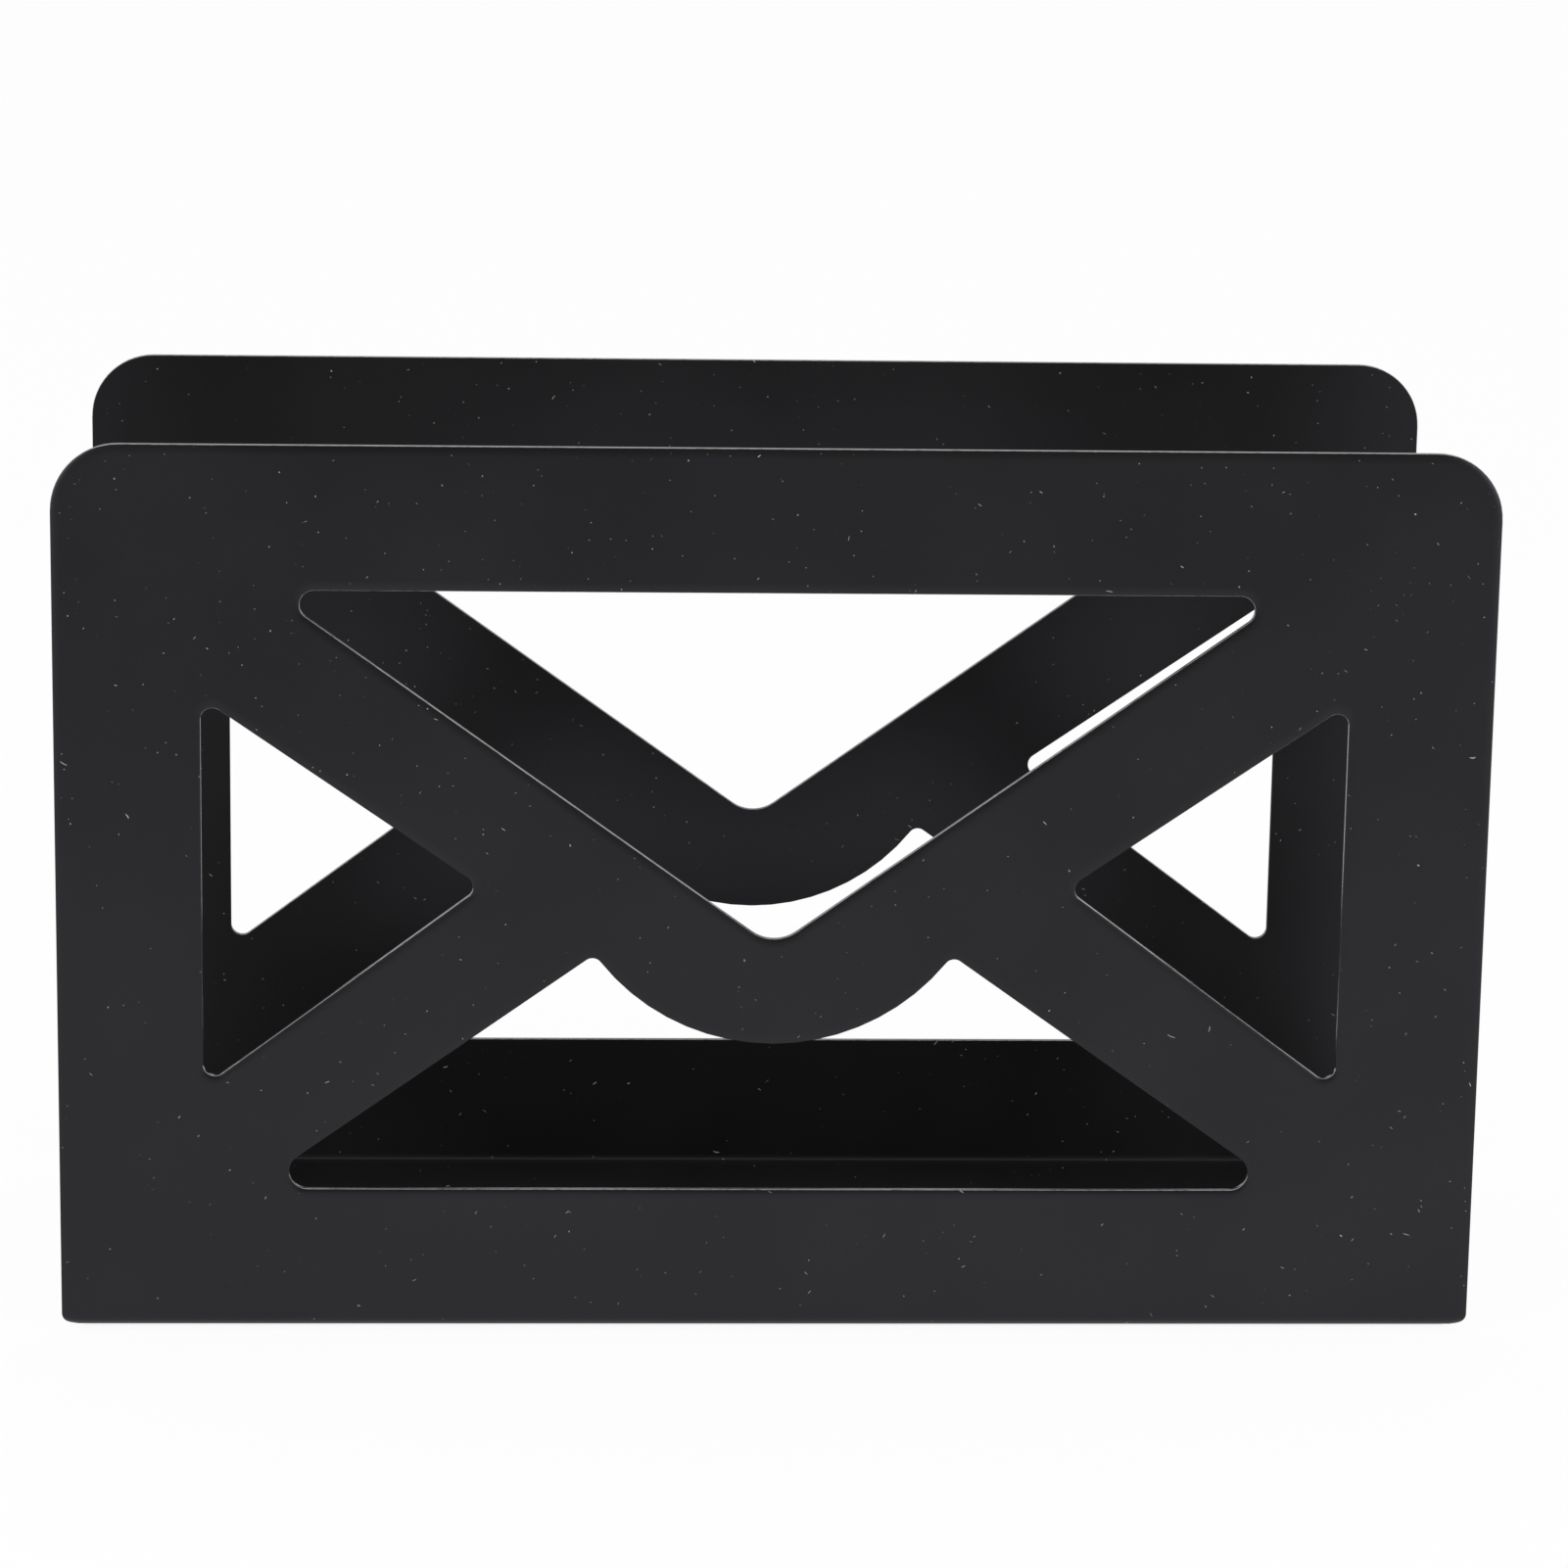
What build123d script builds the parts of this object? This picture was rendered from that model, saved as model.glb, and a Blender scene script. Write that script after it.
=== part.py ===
from build123d import *
import os

# Mail holder: one coated steel sheet bent into a U, standing on four thin stick-on pads.
# X runs across the panels, Y from the front panel to the back panel, Z up.
# The origin lies under the middle of the holder, on the surface that it stands on.

# Sheet
holder_width = 180.0
holder_depth = 70.0
panel_height = 114.0
sheet_thickness = 0.9
bend_inside_radius = 0.8
top_corner_radius = 8.4

# Frame that each panel keeps around its envelope pattern
top_border = 18.2
side_border = 18.2
base_border = 18.4

# Envelope pattern, as shares of the field inside the frame.
# Across shares count from the middle of the panel, up shares from the lower frame bar.
flap_end_across_share = 0.882
flap_tip_up_share = 0.412
side_point_across_share = 0.513
side_point_up_share = 0.512
side_low_up_share = 0.173
side_high_up_share = 0.824
fold_end_across_share = 0.918
fold_crossing_up_share = 0.607
flap_arc_radius = 27.7

# Rounded corners of the four openings
flap_end_radius = 1.85
flap_tip_radius = 4.8
side_opening_radius = 1.5
fold_end_radius = 2.3
fold_cusp_radius = 1.3

# Pads under the base
pad_diameter = 10.0
pad_thickness = 0.4
pad_edge_radius = 0.15
adhesive_thickness = 0.1
adhesive_setback = 0.2
pad_from_side = 14.0
pad_from_face = 12.0

os.makedirs("parts", exist_ok=True)

# Heights that the pieces share
base_underside = pad_thickness + adhesive_thickness
bend_outside_radius = bend_inside_radius + sheet_thickness
slot_depth = holder_depth - 2 * sheet_thickness

# Points of the envelope pattern, measured up from the underside of the base
field_half_width = holder_width / 2 - side_border
field_top = panel_height - top_border
field_height = field_top - base_border
flap_end = field_half_width * flap_end_across_share
flap_tip = base_border + field_height * flap_tip_up_share
side_point = field_half_width * side_point_across_share
side_point_height = base_border + field_height * side_point_up_share
side_low = base_border + field_height * side_low_up_share
side_high = base_border + field_height * side_high_up_share
fold_end = field_half_width * fold_end_across_share
fold_crossing = base_border + field_height * fold_crossing_up_share

# Opening above the flap: a flat triangle whose lower point is well rounded
panel_plane = Plane.XZ.shift_origin((0, 0, base_underside))
with BuildSketch(panel_plane) as flap_opening:
    with BuildLine():
        Polyline((-flap_end, field_top), (flap_end, field_top), (0, flap_tip), close=True)
    make_face()
    fillet(flap_opening.vertices().group_by(Axis.Y)[-1], flap_end_radius)
    fillet(flap_opening.vertices().group_by(Axis.Y)[0], flap_tip_radius)

# Openings left and right of the flap: triangles that point at the middle
with BuildSketch(panel_plane) as side_openings:
    with BuildLine():
        Polyline(
            (side_point, side_point_height),
            (field_half_width, side_high),
            (field_half_width, side_low),
            close=True,
        )
    make_face()
    fillet(side_openings.vertices(), side_opening_radius)
    mirror(about=Plane.YZ)

# Opening below the flap: a triangle with its top taken by the round end of the flap.
# The flap's arc is centred where the two lower folds would cross.
with BuildSketch(panel_plane) as fold_opening:
    with BuildLine():
        Polyline((-fold_end, base_border), (fold_end, base_border), (0, fold_crossing), close=True)
    make_face()
    with Locations((0, fold_crossing)):
        Circle(flap_arc_radius, mode=Mode.SUBTRACT)
    fillet(fold_opening.vertices().group_by(Axis.Y)[0], fold_end_radius)
    fillet(fold_opening.vertices().group_by(Axis.Y)[-1], fold_cusp_radius)

# Space for the mail between the panels, with the inside radius of the two bends
with BuildSketch(Plane.YZ.offset(-holder_width / 2)) as mail_slot:
    with Locations((0, base_underside + sheet_thickness)):
        Rectangle(slot_depth, panel_height, align=(Align.CENTER, Align.MIN))
    fillet(mail_slot.vertices().group_by(Axis.Y)[0], bend_inside_radius)

# Bent sheet: U section, rounded panel tops, and the pattern cut through both panels
with BuildPart() as bent_sheet:
    with BuildSketch(Plane.YZ.offset(-holder_width / 2)) as section:
        with Locations((0, base_underside)):
            Rectangle(holder_depth, panel_height, align=(Align.CENTER, Align.MIN))
        fillet(section.vertices().group_by(Axis.Y)[0], bend_outside_radius)
    extrude(amount=holder_width)
    extrude(mail_slot.sketch, amount=holder_width, mode=Mode.SUBTRACT)
    fillet(bent_sheet.edges().filter_by(Axis.Y).group_by(Axis.Z)[-1], top_corner_radius)
    for opening in (flap_opening, side_openings, fold_opening):
        extrude(opening.sketch, amount=holder_depth, both=True, mode=Mode.SUBTRACT)

bent_sheet.part.label = "bent_sheet"
export_step(bent_sheet.part, "parts/bent_sheet.step")

# Pads: thin rubber discs with a softened lower rim, one near each corner of the base,
# each held by its own disc of adhesive film
pad_across = holder_width / 2 - pad_from_side
pad_along = holder_depth / 2 - pad_from_face
pad_places = {
    "front_left": (-pad_across, -pad_along),
    "front_right": (pad_across, -pad_along),
    "back_left": (-pad_across, pad_along),
    "back_right": (pad_across, pad_along),
}

for place, centre in pad_places.items():
    with BuildPart() as pad:
        with BuildSketch():
            with Locations(centre):
                Circle(pad_diameter / 2)
        extrude(amount=pad_thickness)
        fillet(pad.edges().group_by(Axis.Z)[0], pad_edge_radius)
    pad.part.label = f"{place}_pad"
    export_step(pad.part, f"parts/{place}_pad.step")

    with BuildPart() as adhesive:
        with BuildSketch(Plane.XY.offset(pad_thickness)):
            with Locations(centre):
                Circle(pad_diameter / 2 - adhesive_setback)
        extrude(amount=adhesive_thickness)
    adhesive.part.label = f"{place}_adhesive"
    export_step(adhesive.part, f"parts/{place}_adhesive.step")
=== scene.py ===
import math

import bmesh
import bpy
from mathutils import Matrix, Vector


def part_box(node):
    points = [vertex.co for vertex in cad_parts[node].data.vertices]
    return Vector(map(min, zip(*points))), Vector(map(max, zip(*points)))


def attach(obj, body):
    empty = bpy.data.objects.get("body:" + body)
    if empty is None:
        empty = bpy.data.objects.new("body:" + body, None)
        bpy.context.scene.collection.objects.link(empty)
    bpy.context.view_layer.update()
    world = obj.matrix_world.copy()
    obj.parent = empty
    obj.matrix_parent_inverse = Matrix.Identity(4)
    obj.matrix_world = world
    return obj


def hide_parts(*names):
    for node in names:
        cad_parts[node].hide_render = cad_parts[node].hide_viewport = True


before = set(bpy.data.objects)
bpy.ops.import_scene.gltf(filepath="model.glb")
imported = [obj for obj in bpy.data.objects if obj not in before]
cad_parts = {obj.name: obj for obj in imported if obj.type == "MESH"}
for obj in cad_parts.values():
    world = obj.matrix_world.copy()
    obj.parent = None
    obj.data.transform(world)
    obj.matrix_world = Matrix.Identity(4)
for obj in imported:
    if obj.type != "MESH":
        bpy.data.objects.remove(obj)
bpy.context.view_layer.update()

# Bent sheet: one blank of thin steel, punched with the envelope pattern at both ends and bent twice
# into a U. Front panel, base and back panel are the same sheet, with no seam. The punch draws the
# outer face down along every cut, so the flat faces roll over towards their edges.
mm = 0.001
sheet_low, sheet_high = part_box("bent_sheet")
sheet_thickness = 0.9 * mm
bend_radius = 1.7 * mm
bend_end_radius = 1.6 * mm
bend_steps = 12
top_corner_radius = 8.4 * mm
arc_step = math.radians(6)

# Roll of the outer face, from the cut inwards: width of each ring and its tilt.
roll_rings = (
    (0.06 * mm, math.radians(34)),
    (0.14 * mm, math.radians(18)),
    (0.20 * mm, math.radians(12)),
    (0.25 * mm, math.radians(7.5)),
    (0.30 * mm, math.radians(4)),
    (0.35 * mm, math.radians(2)),
)
roll_drop = sum(width * math.tan(tilt) for width, tilt in roll_rings)

# Envelope pattern: distances from the middle of the panel, heights and corner radii.
field_half_width = 71.8 * mm
field_low = sheet_low.z + 18.4 * mm
field_high = sheet_high.z - 18.2 * mm
flap_end = 63.33 * mm
flap_tip = sheet_low.z + 50.29 * mm
side_point = 36.83 * mm
side_point_height = sheet_low.z + 58.03 * mm
side_low = sheet_low.z + 31.79 * mm
side_high = sheet_low.z + 82.18 * mm
fold_end = 65.91 * mm
fold_crossing = sheet_low.z + 65.38 * mm
flap_arc_radius = 27.7 * mm
flap_end_radius = 1.85 * mm
flap_tip_radius = 4.8 * mm
side_opening_radius = 1.5 * mm
fold_end_radius = 2.3 * mm
fold_cusp_radius = 1.3 * mm

sheet = bmesh.new()


def on_panel(across, height):
    """A point of the front panel's outer face, as deep as the face lies at its cut edges."""
    return Vector((across, sheet_low.y + roll_drop, height))


def turn(vertex, centre, axis, angle):
    """Carries a vertex round an arc, leaving edges behind it, and returns the last vertex."""
    steps = max(2, math.ceil(abs(angle) / arc_step))
    arc = bmesh.ops.spin(sheet, geom=[vertex], cent=centre, axis=axis, angle=angle, steps=steps)
    return next(item for item in arc["geom_last"] if isinstance(item, bmesh.types.BMVert))


def rounded_corner(before, corner, after, radius):
    """Rounds one corner of an outline and returns the first and last vertex of its arc."""
    back = (before - corner).normalized()
    ahead = (after - corner).normalized()
    half_angle = back.angle(ahead) / 2
    centre = corner + (back + ahead).normalized() * radius / math.sin(half_angle)
    first = sheet.verts.new(corner + back * radius / math.tan(half_angle))
    return first, turn(first, centre, ahead.cross(back), math.pi - 2 * half_angle)


def rounded_outline(corners):
    """Draws a closed outline on the panel from (corner, radius) pairs."""
    places = [corner for corner, radius in corners]
    arcs = [
        rounded_corner(places[index - 1], corner, places[(index + 1) % len(places)], radius)
        for index, (corner, radius) in enumerate(corners)
    ]
    for index, arc in enumerate(arcs):
        sheet.edges.new((arcs[index - 1][1], arc[0]))


# The gap above the flap, and the two gaps beside it.
rounded_outline([
    (on_panel(-flap_end, field_high), flap_end_radius),
    (on_panel(flap_end, field_high), flap_end_radius),
    (on_panel(0, flap_tip), flap_tip_radius),
])
for side in (-1, 1):
    rounded_outline([
        (on_panel(side * side_point, side_point_height), side_opening_radius),
        (on_panel(side * field_half_width, side_high), side_opening_radius),
        (on_panel(side * field_half_width, side_low), side_opening_radius),
    ])

# The gap below the flap. Its sloping sides point at the middle of the flap's round end,
# and a small radius joins each of them to that arc.
flap_centre = on_panel(0, fold_crossing)
left_fold = on_panel(-fold_end, field_low)
right_fold = on_panel(fold_end, field_low)
slope = (right_fold - flap_centre).normalized()
cusp_reach = flap_arc_radius + fold_cusp_radius
cusp_tilt = math.asin(fold_cusp_radius / cusp_reach)
flap_sweep = 2 * (slope.angle(Vector((0, 0, -1))) - cusp_tilt)
toward_back = Vector((0, 1, 0))
right_cusp = sheet.verts.new(flap_centre + slope * cusp_reach * math.cos(cusp_tilt))
right_cusp_centre = flap_centre + Matrix.Rotation(cusp_tilt, 3, toward_back) @ slope * cusp_reach
left_cusp_centre = Vector((-right_cusp_centre.x, right_cusp_centre.y, right_cusp_centre.z))
flap_right = turn(right_cusp, right_cusp_centre, -toward_back, math.pi / 2 - cusp_tilt)
flap_left = turn(flap_right, flap_centre, toward_back, flap_sweep)
left_cusp = turn(flap_left, left_cusp_centre, -toward_back, math.pi / 2 - cusp_tilt)
left_arc = rounded_corner(flap_centre, left_fold, right_fold, fold_end_radius)
right_arc = rounded_corner(left_fold, right_fold, flap_centre, fold_end_radius)
sheet.edges.new((left_cusp, left_arc[0]))
sheet.edges.new((left_arc[1], right_arc[0]))
sheet.edges.new((right_arc[1], right_cusp))

# The panel's own outline: round at the top, straight along the bend. The outlines are filled to
# one flat face with four gaps.
flat_within = math.radians(1)
bend_line = sheet_low.z + bend_radius
bend_left = sheet.verts.new(on_panel(sheet_low.x, bend_line))
bend_right = sheet.verts.new(on_panel(sheet_high.x, bend_line))
top_left = on_panel(sheet_low.x, sheet_high.z)
top_right = on_panel(sheet_high.x, sheet_high.z)
right_top = rounded_corner(bend_right.co, top_right, top_left, top_corner_radius)
left_top = rounded_corner(top_right, top_left, bend_left.co, top_corner_radius)
bend_edge = sheet.edges.new((bend_left, bend_right))
sheet.edges.new((bend_right, right_top[0]))
sheet.edges.new((right_top[1], left_top[0]))
sheet.edges.new((left_top[1], bend_left))
bmesh.ops.triangle_fill(sheet, edges=sheet.edges[:], use_beauty=True, normal=-toward_back)
bmesh.ops.dissolve_limit(
    sheet, angle_limit=flat_within, verts=sheet.verts[:], edges=sheet.edges[:])

# First bend and half of the base. The blank is a little narrower between its two bends, and its
# sides round in to that width along each bend. The other half is its mirror image.
weld_distance = 0.01 * mm
bend_centre = Vector((0, sheet_low.y + bend_radius, bend_line))
bend = bmesh.ops.spin(
    sheet, geom=[bend_edge, bend_left, bend_right], cent=bend_centre, axis=(1, 0, 0),
    angle=math.pi / 2, steps=bend_steps)
for vertex in sheet.verts:
    rise = max(0, vertex.co.z - sheet_low.z - roll_drop)
    if rise < bend_end_radius:
        drop = bend_end_radius - rise
        pull = bend_end_radius - math.sqrt(bend_end_radius ** 2 - drop ** 2)
        vertex.co.x -= math.copysign(pull, vertex.co.x)
base_edge = [item for item in bend["geom_last"] if isinstance(item, bmesh.types.BMEdge)]
base = bmesh.ops.extrude_edge_only(sheet, edges=base_edge)
for item in base["geom"]:
    if isinstance(item, bmesh.types.BMVert):
        item.co.y = 0
bmesh.ops.mirror(
    sheet, geom=sheet.verts[:] + sheet.edges[:] + sheet.faces[:], axis="Y",
    merge_dist=weld_distance)
bmesh.ops.recalc_face_normals(sheet, faces=sheet.faces[:])

# The blank gets its thickness inwards. Then its outer face is raised in rings behind every cut, and
# the two rims of each cut are broken. Marks tell the coat where it lies thin and smooth, on the cut
# faces and rims, and where it gets a painted highlight of pale grey, on rims that face up or lie
# near the top.
edge_radius = 0.06 * mm
edge_steps = 3
sharp_from = math.radians(50)
facing_up = 0.1
highlight_rims_above = sheet_low.z + 80 * mm
cut_mark = sheet.faces.layers.float.new("cut_mark")
highlight_rim_mark = sheet.faces.layers.float.new("highlight_rim_mark")
outer_face = sheet.faces[:]
bmesh.ops.solidify(sheet, geom=outer_face, thickness=sheet_thickness - roll_drop)
for outer in outer_face:
    for edge in outer.edges:
        for face in edge.link_faces:
            face[cut_mark] = 1
for outer in outer_face:
    outer[cut_mark] = 0
for width, tilt in roll_rings:
    bmesh.ops.inset_region(
        sheet, faces=outer_face, thickness=width, depth=width * math.tan(tilt), use_even_offset=True)
cut_edges = [edge for edge in sheet.edges if edge.calc_face_angle() > sharp_from]
broken_edges = bmesh.ops.bevel(
    sheet, geom=cut_edges, offset=edge_radius, offset_type="OFFSET", segments=edge_steps,
    profile=0.5, affect="EDGES", material=-1, clamp_overlap=False)
sheet.normal_update()
for face in broken_edges["faces"]:
    near_top = face.calc_center_median().z > highlight_rims_above
    face[cut_mark] = 1
    # Rims that face up or lie near the top are marked for a painted highlight of pale grey.
    face[highlight_rim_mark] = 1 if near_top or face.normal.z > facing_up else 0
for face in sheet.faces:
    face.smooth = True
sheet_mesh = bpy.data.meshes.new("coated_sheet")
sheet.to_mesh(sheet_mesh)
sheet.free()
coated_sheet = bpy.data.objects.new("coated_sheet", sheet_mesh)
bpy.context.scene.collection.objects.link(coated_sheet)
even_shading = coated_sheet.modifiers.new("even_shading", "WEIGHTED_NORMAL")
even_shading.mode = "FACE_AREA"
even_shading.weight = 100


class Wire:
    """An output socket in a node tree. Arithmetic on it adds Math nodes to that tree."""

    def __init__(self, tree, socket):
        self.tree = tree
        self.socket = socket

    def node(self, kind, settings, sockets, output=0):
        """Adds a node with its settings, then its socket values or links, and returns an output."""
        made = self.tree.nodes.new(kind)
        for name, value in settings.items():
            setattr(made, name, value)
        for name, value in sockets.items():
            if isinstance(value, Wire):
                self.tree.links.new(value.socket, made.inputs[name])
            else:
                made.inputs[name].default_value = value
        return Wire(self.tree, made.outputs[output]) if made.outputs else None

    def beside(self, output):
        """Another output of the same node."""
        return Wire(self.tree, self.socket.node.outputs[output])

    def maths(self, operation, first, second):
        """A Math node on two values."""
        return self.node("ShaderNodeMath", {"operation": operation}, {0: first, 1: second})

    def ease(self, start, end, low, high):
        """Goes smoothly from low to high while the value goes from start to end."""
        return self.node("ShaderNodeMapRange", {"interpolation_type": "SMOOTHSTEP"}, {
            "Value": self, "From Min": start, "From Max": end, "To Min": low, "To Max": high})

    def blend(self, first, second):
        """Two colours mixed by this value. A Mix node's colours are inputs 6 and 7 and output 2."""
        return self.node("ShaderNodeMix", {"data_type": "RGBA"}, {0: self, 6: first, 7: second}, 2)

    def __add__(self, other):
        return self.maths("ADD", self, other)

    def __radd__(self, other):
        return self.maths("ADD", other, self)

    def __sub__(self, other):
        return self.maths("SUBTRACT", self, other)

    def __rsub__(self, other):
        return self.maths("SUBTRACT", other, self)

    def __mul__(self, other):
        return self.maths("MULTIPLY", self, other)

    def __rmul__(self, other):
        return self.maths("MULTIPLY", other, self)

    def __pow__(self, other):
        return self.maths("POWER", self, other)

    def __abs__(self):
        return self.maths("ABSOLUTE", self, 0)


def new_finish(name):
    """A material with an empty node tree, and the Object coordinates that its pattern reads."""
    finish = bpy.data.materials.new(name)
    finish.use_nodes = True
    finish.node_tree.nodes.clear()
    coordinates = finish.node_tree.nodes.new("ShaderNodeTexCoord")
    return finish, Wire(finish.node_tree, coordinates.outputs["Object"])


# Its coat: black powder, baked on to a satin finish. It dries with a fine orange-peel grain and
# slightly duller clouds, lies thinnest along the cuts, has a painted highlight of pale grey on some
# rims, and holds short lint and specks of dust, most of them high up.
powder_black = (0.0092, 0.0092, 0.0094, 1)
powder_faded = (0.0118, 0.0118, 0.0121, 1)
powder_thin = (0.02, 0.02, 0.0205, 1)
# Pale grey painted on rims that face up or lie near the top: a painted highlight.
rim_highlight_grey = (0.3, 0.3, 0.305, 1)
powder_gloss = (0.86, 0.857, 0.985, 1)
powder_shine = 0.28
dust_grey = (0.34, 0.34, 0.34, 1)
grains_per_metre = 2600
clouds_per_metre = 38
flaws_per_metre = 900
sways_per_metre = 500
sway_reach = 1.5 * mm
peel_strength = 0.12
peel_depth = 0.05 * mm
speck_height = 0.6

# Noise levels between which clouds fade the coat, flaws thin it on cuts and break up the painted rim
# highlight.
fade_range = (0.3, 0.7)
thin_range = (0.35, 0.65)
highlight_range = (0.25, 0.55)
least_highlight = 0.4

# Roughness of the plain coat, and what clouds, cuts, the painted highlight rims and specks add to
# it.
satin_roughness = 0.26
cloud_roughness = 0.08
cut_roughness = -0.1
highlight_rim_roughness = 0.3
speck_roughness = 0.4

# Dust and lint: the cell that each speck has for itself, how lint is turned in the panel, and the
# heights between which dust goes from few specks to many.
dust_cell = (mm, mm, mm)
lint_cell = (5 * mm, 1.4 * mm, 0.6 * mm)
fluff_cell = (4 * mm, 1.4 * mm, 0.6 * mm)
lint_turn = (0, 0.6, 0)
fluff_turn = (0, 2.3, 0)
few_below = 25 * mm
many_above = 100 * mm
least_for_few = -0.18
least_for_many = -0.02
speck_softness = 0.02

powder_coat, place = new_finish("powder_coat")
sway = place.node(
    "ShaderNodeTexNoise", {}, {"Vector": place, "Scale": sways_per_metre, "Detail": 0}, "Color")
drift = place.node("ShaderNodeVectorMath", {"operation": "MULTIPLY_ADD"}, {
    0: sway, 1: (sway_reach, sway_reach, sway_reach), 2: place})


def specks(drift, rotation, cell, least, most):
    """Scattered grains: 1 in the middle of each and 0 around it.

    A grain's radius is a random share of its cell between least and most. Below 0 the cell is bare.
    """
    spot = drift.node("ShaderNodeMapping", {"vector_type": "TEXTURE"}, {
        "Vector": drift, "Rotation": rotation, "Scale": cell})
    reach = drift.node("ShaderNodeTexVoronoi", {}, {"Vector": spot, "Scale": 1}, "Distance")
    draw = drift.node("ShaderNodeSeparateColor", {}, {"Color": reach.beside("Color")}, "Red")
    return (least + (most - least) * draw - reach).ease(0, speck_softness, 0, 1)


grain = place.node(
    "ShaderNodeTexNoise", {}, {"Vector": place, "Scale": grains_per_metre, "Detail": 3})
clouds = place.node(
    "ShaderNodeTexNoise", {}, {"Vector": place, "Scale": clouds_per_metre, "Detail": 4})
flaws = place.node(
    "ShaderNodeTexNoise", {}, {"Vector": place, "Scale": flaws_per_metre, "Detail": 2})
cut = place.node("ShaderNodeAttribute", {"attribute_name": "cut_mark"}, {}, "Fac")
highlight_rim = place.node("ShaderNodeAttribute", {"attribute_name": "highlight_rim_mark"}, {}, "Fac")
height = place.node("ShaderNodeSeparateXYZ", {}, {"Vector": place}, "Z")
least_dust = height.ease(few_below, many_above, least_for_few, least_for_many)
dust = specks(drift, (0, 0, 0), dust_cell, least=least_dust, most=0.095)
lint = specks(drift, lint_turn, lint_cell, least=-0.7, most=0.10)
fluff = specks(drift, fluff_turn, fluff_cell, least=-0.7, most=0.10)
litter = place.maths("MAXIMUM", dust, place.maths("MAXIMUM", lint, fluff))
faded = clouds.ease(*fade_range, 0, 1)
thin_coat = cut * flaws.ease(*thin_range, 0, 1)
# Painted highlight: rims that face up or lie near the top turn pale grey in patches.
rim_highlight = highlight_rim * flaws.ease(*highlight_range, least_highlight, 1)
powder = thin_coat.blend(faded.blend(powder_black, powder_faded), powder_thin)
peel = place.node("ShaderNodeBump", {}, {
    "Strength": peel_strength, "Distance": peel_depth, "Height": grain + speck_height * litter})
coat_roughness = satin_roughness + cloud_roughness * clouds + cut_roughness * cut
coat_shader = place.node("ShaderNodeBsdfPrincipled", {}, {
    "Base Color": litter.blend(rim_highlight.blend(powder, rim_highlight_grey), dust_grey),
    "Roughness": coat_roughness + highlight_rim_roughness * highlight_rim + speck_roughness * litter,
    "Specular IOR Level": powder_shine,
    "Specular Tint": powder_gloss,
    "Normal": peel,
})
place.node("ShaderNodeOutputMaterial", {}, {"Surface": coat_shader})
sheet_mesh.materials.append(powder_coat)
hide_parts("bent_sheet")
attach(coated_sheet, "root")

# Pads: four discs die-cut from thin black rubber sheet, one near each corner of the base. They keep
# the holder from sliding and from marking the desk. Their rims and high spots are scuffed paler.
corners = ("front_left", "front_right", "back_left", "back_right")
pad_radius = 5 * mm
pad_rim_from = 0.85 * pad_radius
pad_rim_wear = 0.8
pad_across = 76 * mm
pad_along = 23 * mm
pad_black = (0.014, 0.014, 0.014, 1)
pad_worn = (0.032, 0.031, 0.03, 1)
pad_shine = 0.35
pad_roughness = 0.9
rubbed_roughness = -0.25
pores_per_metre = 3200
scuffs_per_metre = 420
pore_strength = 0.35
pore_depth = 0.06 * mm
pad_rubber, place = new_finish("pad_rubber")


def from_pad_middle(place):
    """Distance from the middle of the nearest pad, seen from above."""
    across = place.node("ShaderNodeSeparateXYZ", {}, {"Vector": place}, "X")
    return ((abs(across) - pad_across) ** 2 + (abs(across.beside("Y")) - pad_along) ** 2) ** 0.5


pores = place.node(
    "ShaderNodeTexVoronoi", {}, {"Vector": place, "Scale": pores_per_metre}, "Distance")
scuffs = place.node(
    "ShaderNodeTexNoise", {}, {"Vector": place, "Scale": scuffs_per_metre, "Detail": 5})
worn_pad_rim = from_pad_middle(place).ease(pad_rim_from, pad_radius, 0, pad_rim_wear)
rubbed = place.maths("MAXIMUM", scuffs, worn_pad_rim)
pad_grain = place.node("ShaderNodeBump", {}, {
    "Strength": pore_strength, "Distance": pore_depth, "Height": pores})
pad_shader = place.node("ShaderNodeBsdfPrincipled", {}, {
    "Base Color": rubbed.blend(pad_black, pad_worn),
    "Roughness": pad_roughness + rubbed_roughness * rubbed,
    "Specular IOR Level": pad_shine,
    "Normal": pad_grain,
})
place.node("ShaderNodeOutputMaterial", {}, {"Surface": pad_shader})
for corner in corners:
    pad_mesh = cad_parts[f"{corner}_pad"].data
    pad_mesh.materials.clear()
    pad_mesh.materials.append(pad_rubber)

# Adhesive: a disc of double-sided film behind each pad, a hair smaller than the pad so that no glue
# shows at its rim. It is streaky, and its rim has picked up dirt.
film_radius = 4.8 * mm
film_rim_from = 0.92 * film_radius
film_clear = (0.50, 0.48, 0.42, 1)
film_cloudy = (0.60, 0.58, 0.53, 1)
film_dirt = (0.22, 0.21, 0.19, 1)
film_roughness = 0.3
streak_roughness = 0.2
dirt_roughness = 0.3
streaks_per_metre = 700
ripple_strength = 0.2
ripple_depth = 0.03 * mm
adhesive_film, place = new_finish("adhesive_film")
streaks = place.node(
    "ShaderNodeTexNoise", {}, {"Vector": place, "Scale": streaks_per_metre, "Detail": 4})
dirty_rim = from_pad_middle(place).ease(film_rim_from, film_radius, 0, 1)
film_ripple = place.node("ShaderNodeBump", {}, {
    "Strength": ripple_strength, "Distance": ripple_depth, "Height": streaks})
film_shader = place.node("ShaderNodeBsdfPrincipled", {}, {
    "Base Color": dirty_rim.blend(streaks.blend(film_clear, film_cloudy), film_dirt),
    "Roughness": film_roughness + streak_roughness * streaks + dirt_roughness * dirty_rim,
    "Normal": film_ripple,
})
place.node("ShaderNodeOutputMaterial", {}, {"Surface": film_shader})
for corner in corners:
    film_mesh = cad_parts[f"{corner}_adhesive"].data
    film_mesh.materials.clear()
    film_mesh.materials.append(adhesive_film)
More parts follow.
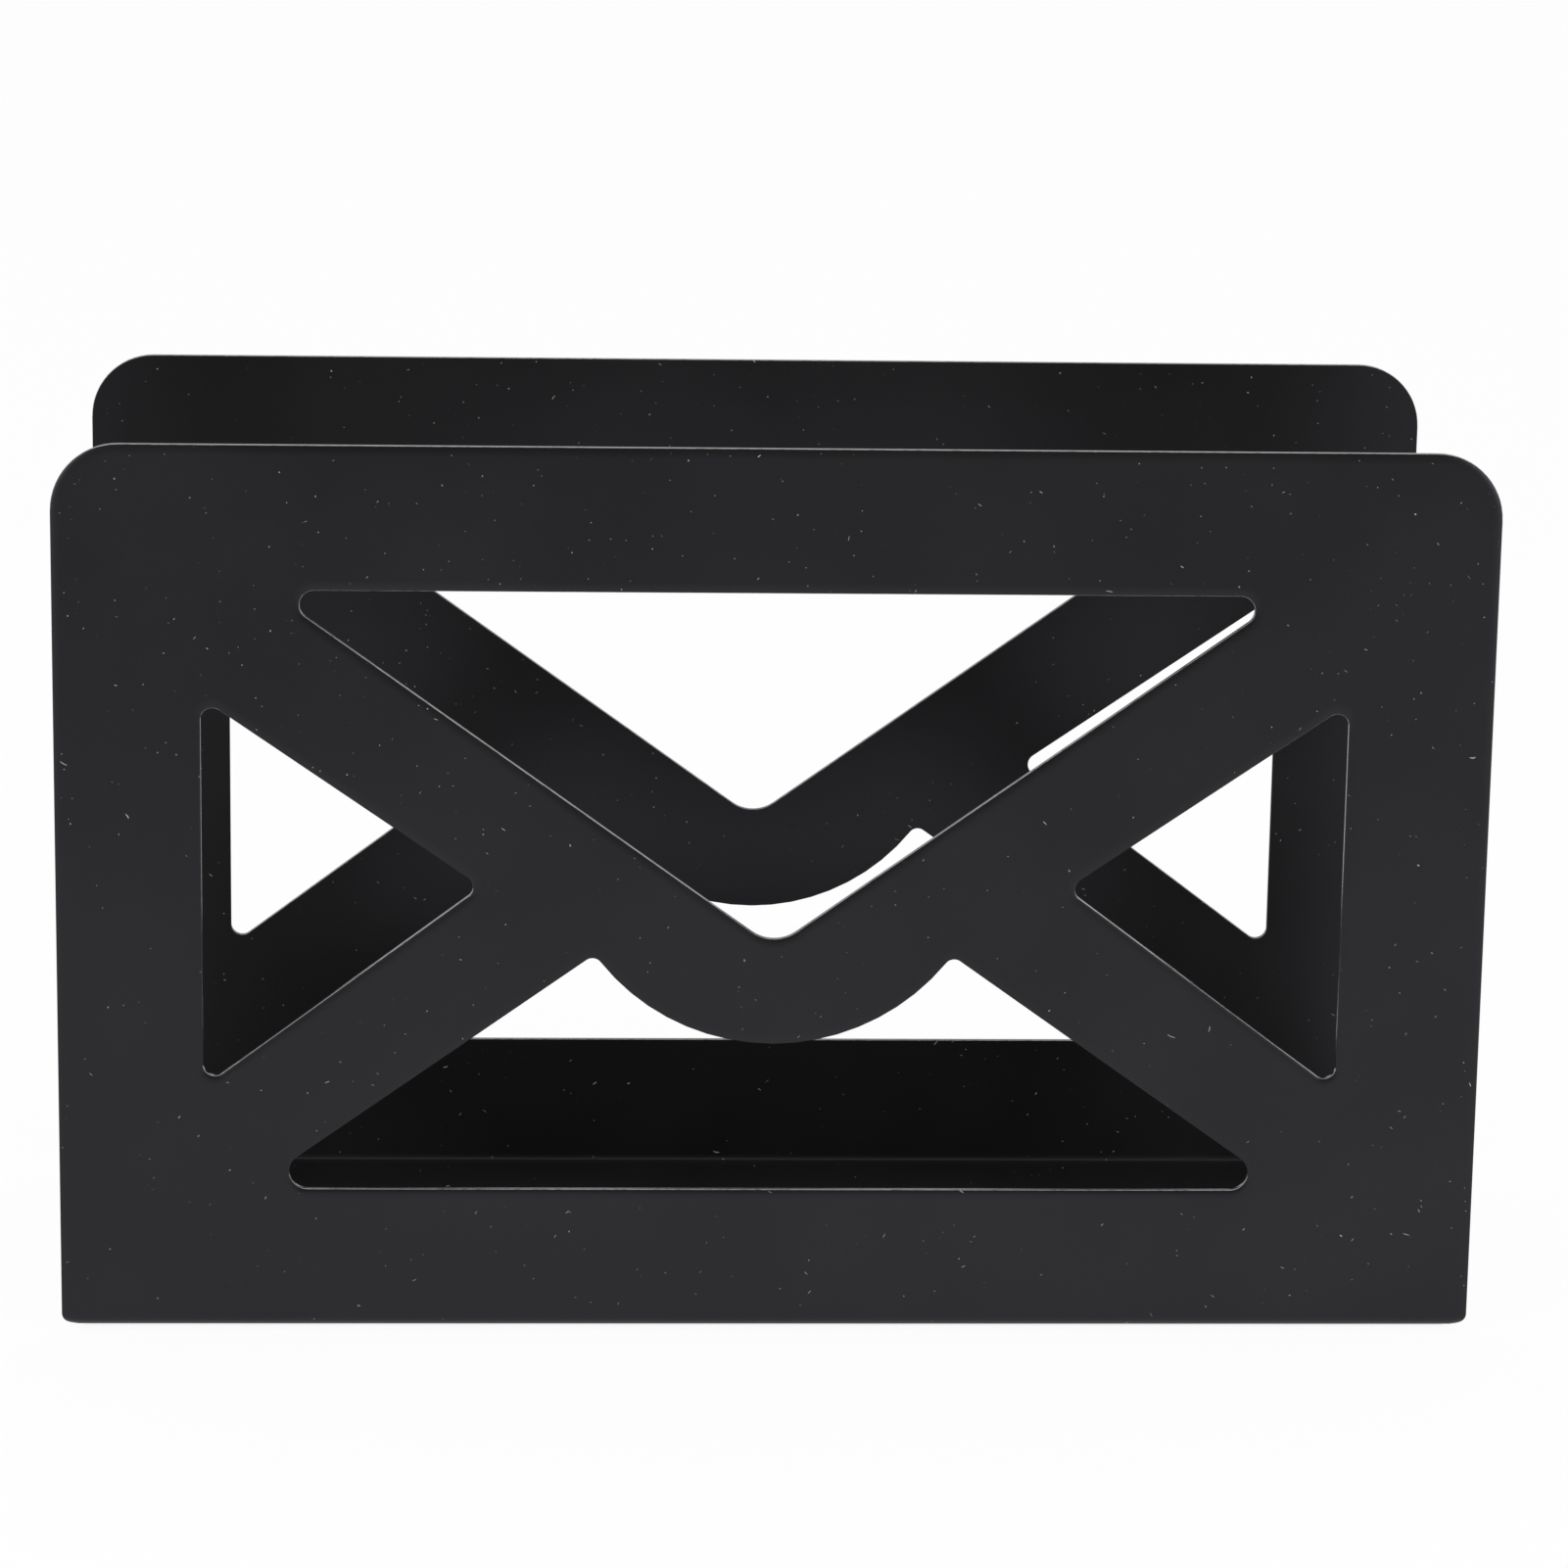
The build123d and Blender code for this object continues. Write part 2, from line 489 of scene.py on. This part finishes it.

# Table: a wide sheet of white paper. It shows as white, apart from the holder's shadow, which is
# faint around it and full close under it. In front of the picture it goes over to pale grey, painted
# shade that stands in for the dark room in front and shows in the holder's reflections. From below
# it is clear, so that the underside of the holder can be looked at.
table_half_size = 3
table_gap = 0.02 * mm
paper_roughness = 0.9
paper_white = (0.92, 0.92, 0.92, 1)
painted_shade_grey = (0.45, 0.45, 0.45, 1)
full_white = (1, 1, 1, 1)
white_until = -0.13
painted_shade_from = -0.46
shade_under = -4 * mm
shade_until = -2.2 * mm
white_under = 0.1
white_around = 0.94
table = bmesh.new()
bmesh.ops.create_grid(table, x_segments=1, y_segments=1, size=table_half_size)
bmesh.ops.translate(table, verts=table.verts[:], vec=(0, 0, -table_gap))
table_mesh = bpy.data.meshes.new("table")
table.to_mesh(table_mesh)
table.free()
table_top = bpy.data.objects.new("table", table_mesh)
bpy.context.scene.collection.objects.link(table_top)
white_paper, place = new_finish("white_paper")
across = place.node("ShaderNodeSeparateXYZ", {}, {"Vector": place}, "X")
along = across.beside("Y")
# Painted shade: towards the front the paper turns grey, which darkens the holder's reflections.
paper_share = along.ease(painted_shade_from, white_until, 0, 1)
clear_of_holder = place.maths("MAXIMUM", abs(across) - sheet_high.x, abs(along) - sheet_high.y)
white_share = paper_share * clear_of_holder.ease(shade_under, shade_until, white_under, white_around)

# Plain sight is 1 where the paper is looked at directly, in a reflection or through glass.
seen = place.node("ShaderNodeLightPath", {}, {}, "Is Camera Ray")
plain_sight = seen + seen.beside("Is Glossy Ray") + seen.beside("Is Transmission Ray")
paper = place.node("ShaderNodeBsdfPrincipled", {}, {
    "Base Color": paper_share.blend(painted_shade_grey, paper_white),
    "Roughness": paper_roughness,
    "Specular IOR Level": 0,
})
plain_white = place.node("ShaderNodeEmission", {}, {"Color": full_white, "Strength": 1})
table_side = place.node(
    "ShaderNodeMixShader", {}, {0: plain_sight * white_share, 1: paper, 2: plain_white})
from_below = place.node("ShaderNodeNewGeometry", {}, {}, "Backfacing")
clear = place.node("ShaderNodeBsdfTransparent", {}, {"Color": full_white})
table_shader = place.node("ShaderNodeMixShader", {}, {0: from_below, 1: table_side, 2: clear})
place.node("ShaderNodeOutputMaterial", {}, {"Surface": table_shader})
table_mesh.materials.append(white_paper)

# Light: a white tent that is open towards the camera, where the room is dark, and a large soft box
# on each side of that opening. The wall darkens smoothly from the sides to the front.
wall_strength = 1
room_strength = 0.04
wall_ends_at = -0.9
soft_box_width = 0.7
soft_box_height = 0.5
soft_box_watts = 3.8
soft_box_places = {"left": (-0.7, -0.6, 0.28), "right": (0.7, -0.6, 0.28)}
tent = bpy.data.worlds.new("white_tent")
tent.use_nodes = True
tent.node_tree.nodes.clear()
bpy.context.scene.world = tent
toward = Wire(tent.node_tree, tent.node_tree.nodes.new("ShaderNodeTexCoord").outputs["Generated"])
backward = toward.node("ShaderNodeSeparateXYZ", {}, {"Vector": toward}, "Y")
wall_share = backward.ease(wall_ends_at, 0, 0, 1)
tent_wall = toward.node(
    "ShaderNodeBackground", {}, {"Color": full_white, "Strength": wall_strength})
dark_room = toward.node(
    "ShaderNodeBackground", {}, {"Color": full_white, "Strength": room_strength})
tent_light = toward.node("ShaderNodeMixShader", {}, {0: wall_share, 1: dark_room, 2: tent_wall})
toward.node("ShaderNodeOutputWorld", {}, {"Surface": tent_light})
for name, location in soft_box_places.items():
    soft_box_data = bpy.data.lights.new(f"{name}_soft_box", "AREA")
    soft_box_data.shape = "RECTANGLE"
    soft_box_data.size = soft_box_width
    soft_box_data.size_y = soft_box_height
    soft_box_data.energy = soft_box_watts
    soft_box = bpy.data.objects.new(f"{name}_soft_box", soft_box_data)
    soft_box.location = location
    soft_box.rotation_euler = soft_box.location.to_track_quat("Z", "Y").to_euler()
    bpy.context.scene.collection.objects.link(soft_box)

# Camera: a long lens a little above the holder and to its left, as in the photograph. Its angles
# turn a camera that looks along the Y axis.
camera_lens = 128.65
camera_place = (-0.03161, -0.7162, 0.23485)
camera_yaw = math.radians(-2.7361)
camera_pitch = math.radians(-13.4267)
camera_roll = math.radians(-0.919)
camera_data = bpy.data.cameras.new("camera")
camera_data.sensor_width = 36
camera_data.lens = camera_lens
camera_data.clip_start = 0.01
camera = bpy.data.objects.new("camera", camera_data)
camera.location = camera_place
aim = Matrix.Rotation(camera_yaw, 3, "Z")
aim = aim @ Matrix.Rotation(camera_pitch, 3, "X")
aim = aim @ Matrix.Rotation(camera_roll, 3, "Y")
aim = aim @ Matrix.Rotation(math.radians(90), 3, "X")
camera.rotation_euler = aim.to_euler()
bpy.context.scene.collection.objects.link(camera)
bpy.context.scene.camera = camera
bpy.context.scene.view_settings.view_transform = "Standard"

bpy.context.view_layer.update()
